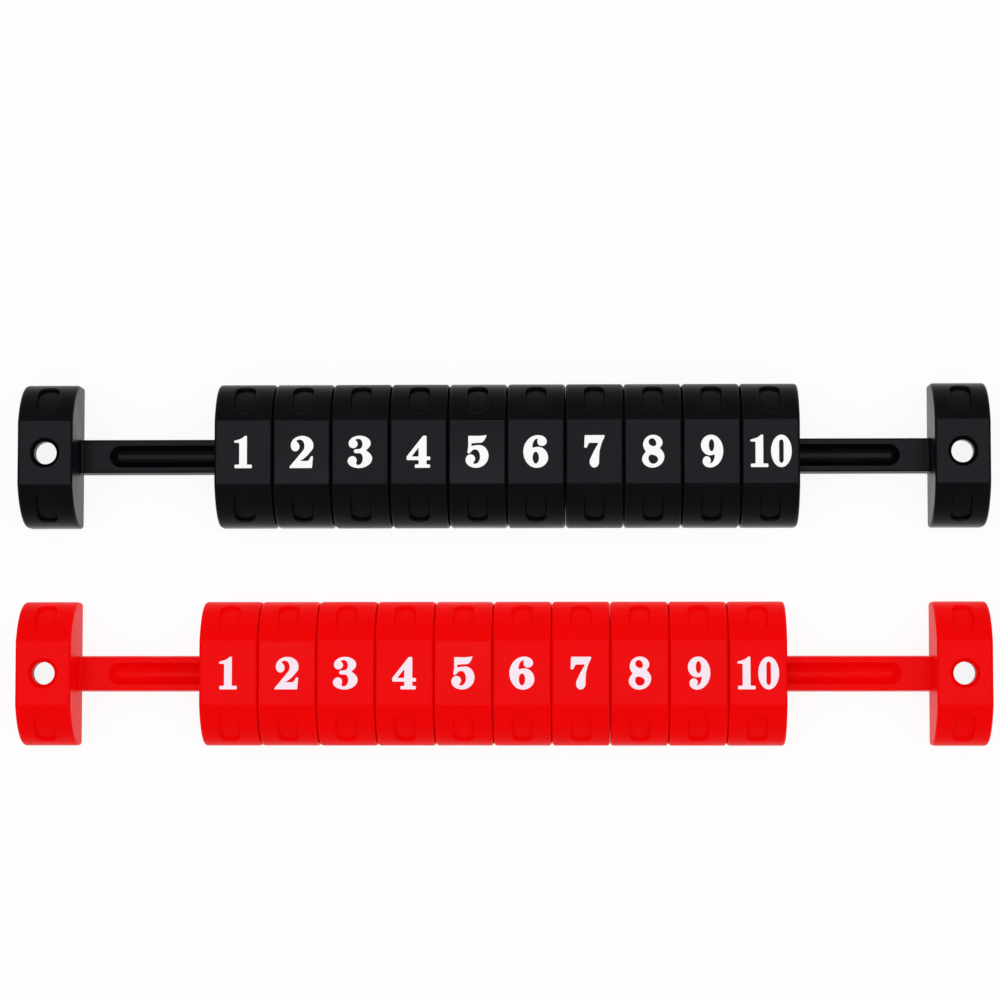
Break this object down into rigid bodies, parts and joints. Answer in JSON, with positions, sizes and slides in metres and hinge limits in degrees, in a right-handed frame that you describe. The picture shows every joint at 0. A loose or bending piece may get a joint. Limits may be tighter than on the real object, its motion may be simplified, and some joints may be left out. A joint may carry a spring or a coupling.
{
  "type": "table football score counter",
  "caption": "Pair of table football score counters: numbered beads, open at the back, slide along a bar between two end blocks with screw holes, one in black and one in red.",
  "frame": {"origin": "middle of the pair's footprint, on the surface that the counters lie on", "axes": "+X along the bars, the way the numbers rise; +Y from the red counter to the black one; +Z out of the numbered fronts"},
  "size_m": [0.245, 0.0922, 0.0185],
  "materials": {
    "black_plastic": "satin",
    "red_plastic": "satin",
    "number_ink": "printed"
  },
  "bodies": {
    "rails": {"black_rail": "black_plastic", "red_rail": "red_plastic"},
    "black_bead_1": {"black_bead_1": "black_plastic"},
    "black_bead_2": {"black_bead_2": "black_plastic"},
    "black_bead_3": {"black_bead_3": "black_plastic"},
    "black_bead_4": {"black_bead_4": "black_plastic"},
    "black_bead_5": {"black_bead_5": "black_plastic"},
    "black_bead_6": {"black_bead_6": "black_plastic"},
    "black_bead_7": {"black_bead_7": "black_plastic"},
    "black_bead_8": {"black_bead_8": "black_plastic"},
    "black_bead_9": {"black_bead_9": "black_plastic"},
    "black_bead_10": {"black_bead_10": "black_plastic"},
    "red_bead_1": {"red_bead_1": "red_plastic"},
    "red_bead_2": {"red_bead_2": "red_plastic"},
    "red_bead_3": {"red_bead_3": "red_plastic"},
    "red_bead_4": {"red_bead_4": "red_plastic"},
    "red_bead_5": {"red_bead_5": "red_plastic"},
    "red_bead_6": {"red_bead_6": "red_plastic"},
    "red_bead_7": {"red_bead_7": "red_plastic"},
    "red_bead_8": {"red_bead_8": "red_plastic"},
    "red_bead_9": {"red_bead_9": "red_plastic"},
    "red_bead_10": {"red_bead_10": "red_plastic"}
  },
  "joints": [
    {"name": "black_slide_1", "type": "slide", "parent": "black_bead_2", "child": "black_bead_1", "axis": [1, 0, 0], "range_m": [-0.00714, 0]},
    {"name": "black_slide_2", "type": "slide", "parent": "black_bead_3", "child": "black_bead_2", "axis": [1, 0, 0], "range_m": [-0.00714, 0]},
    {"name": "black_slide_3", "type": "slide", "parent": "black_bead_4", "child": "black_bead_3", "axis": [1, 0, 0], "range_m": [-0.00714, 0]},
    {"name": "black_slide_4", "type": "slide", "parent": "black_bead_5", "child": "black_bead_4", "axis": [1, 0, 0], "range_m": [-0.00714, 0]},
    {"name": "black_slide_5", "type": "slide", "parent": "rails", "child": "black_bead_5", "axis": [1, 0, 0], "range_m": [-0.00714, 0]},
    {"name": "black_slide_6", "type": "slide", "parent": "rails", "child": "black_bead_6", "axis": [1, 0, 0], "range_m": [0, 0.0067]},
    {"name": "black_slide_7", "type": "slide", "parent": "black_bead_6", "child": "black_bead_7", "axis": [1, 0, 0], "range_m": [0, 0.0067]},
    {"name": "black_slide_8", "type": "slide", "parent": "black_bead_7", "child": "black_bead_8", "axis": [1, 0, 0], "range_m": [0, 0.0067]},
    {"name": "black_slide_9", "type": "slide", "parent": "black_bead_8", "child": "black_bead_9", "axis": [1, 0, 0], "range_m": [0, 0.0067]},
    {"name": "black_slide_10", "type": "slide", "parent": "black_bead_9", "child": "black_bead_10", "axis": [1, 0, 0], "range_m": [0, 0.0067]},
    {"name": "red_slide_1", "type": "slide", "parent": "red_bead_2", "child": "red_bead_1", "axis": [1, 0, 0], "range_m": [-0.00644, 0]},
    {"name": "red_slide_2", "type": "slide", "parent": "red_bead_3", "child": "red_bead_2", "axis": [1, 0, 0], "range_m": [-0.00644, 0]},
    {"name": "red_slide_3", "type": "slide", "parent": "red_bead_4", "child": "red_bead_3", "axis": [1, 0, 0], "range_m": [-0.00644, 0]},
    {"name": "red_slide_4", "type": "slide", "parent": "red_bead_5", "child": "red_bead_4", "axis": [1, 0, 0], "range_m": [-0.00644, 0]},
    {"name": "red_slide_5", "type": "slide", "parent": "rails", "child": "red_bead_5", "axis": [1, 0, 0], "range_m": [-0.00644, 0]},
    {"name": "red_slide_6", "type": "slide", "parent": "rails", "child": "red_bead_6", "axis": [1, 0, 0], "range_m": [0, 0.0074]},
    {"name": "red_slide_7", "type": "slide", "parent": "red_bead_6", "child": "red_bead_7", "axis": [1, 0, 0], "range_m": [0, 0.0074]},
    {"name": "red_slide_8", "type": "slide", "parent": "red_bead_7", "child": "red_bead_8", "axis": [1, 0, 0], "range_m": [0, 0.0074]},
    {"name": "red_slide_9", "type": "slide", "parent": "red_bead_8", "child": "red_bead_9", "axis": [1, 0, 0], "range_m": [0, 0.0074]},
    {"name": "red_slide_10", "type": "slide", "parent": "red_bead_9", "child": "red_bead_10", "axis": [1, 0, 0], "range_m": [0, 0.0074]}
  ]
}
